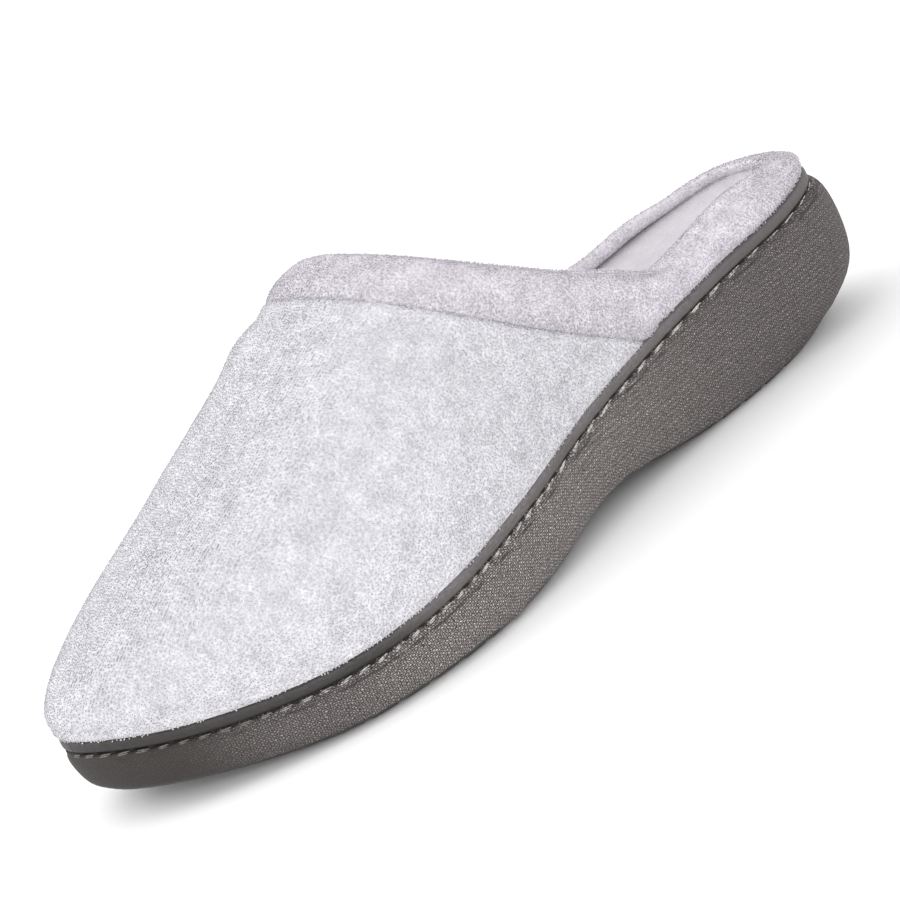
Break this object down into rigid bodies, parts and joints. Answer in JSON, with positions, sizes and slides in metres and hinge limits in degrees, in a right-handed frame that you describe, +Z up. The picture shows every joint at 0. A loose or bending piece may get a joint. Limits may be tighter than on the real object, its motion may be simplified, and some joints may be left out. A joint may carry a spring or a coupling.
{
  "type": "house shoe",
  "caption": "Backless closed-toe house shoe with a padded cuff over the instep and round the heel, on a wedge sole with a stitched binding strip.",
  "frame": {"origin": "on the floor, under the middle of the shoe's box", "axes": "+X to the toe, +Y to the outer side of this left shoe, +Z up"},
  "size_m": [0.2632, 0.0938, 0.0889],
  "materials": {
    "sole": "matt, fine woven grain on the side wall",
    "binding": "smooth, slightly satin",
    "sock_terry": "short brushed terry",
    "terry": "looped terry, light grey heather"
  },
  "bodies": {
    "root": {"outsole": "sole", "welt": "binding", "insole": "sock_terry", "upper": "terry", "cuff": "terry"}
  },
  "joints": []
}
